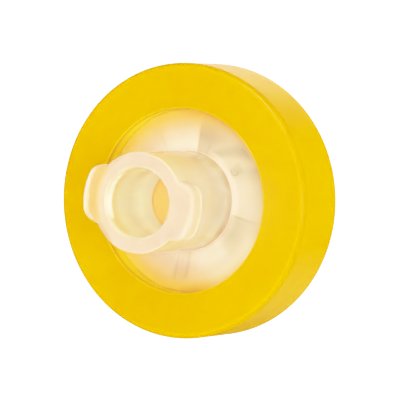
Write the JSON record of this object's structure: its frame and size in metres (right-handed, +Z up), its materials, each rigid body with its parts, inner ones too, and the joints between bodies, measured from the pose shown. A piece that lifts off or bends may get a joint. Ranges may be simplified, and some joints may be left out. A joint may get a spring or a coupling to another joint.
{
  "type": "syringe filter",
  "caption": "Round membrane filter with a female luer lock inlet tube, a male luer slip outlet nozzle and a yellow moulded ring that locks its two translucent halves.",
  "frame": {"origin": "middle of the outlet nozzle's end face, on which the filter stands", "axes": "+Z up along the flow axis, from the outlet nozzle to the inlet tube; the inlet's two lugs lie along X"},
  "size_m": [0.0174, 0.0174, 0.0178],
  "materials": {
    "natural_polypropylene": "natural milky polypropylene, translucent, smooth as moulded",
    "yellow_polypropylene": "yellow polypropylene, slightly translucent, satin as moulded",
    "membrane_sheet": "white porous membrane, matte"
  },
  "bodies": {
    "root": {"inlet_housing": "natural_polypropylene", "outlet_housing": "natural_polypropylene", "membrane": "membrane_sheet", "overmold_ring": "yellow_polypropylene"}
  },
  "joints": []
}
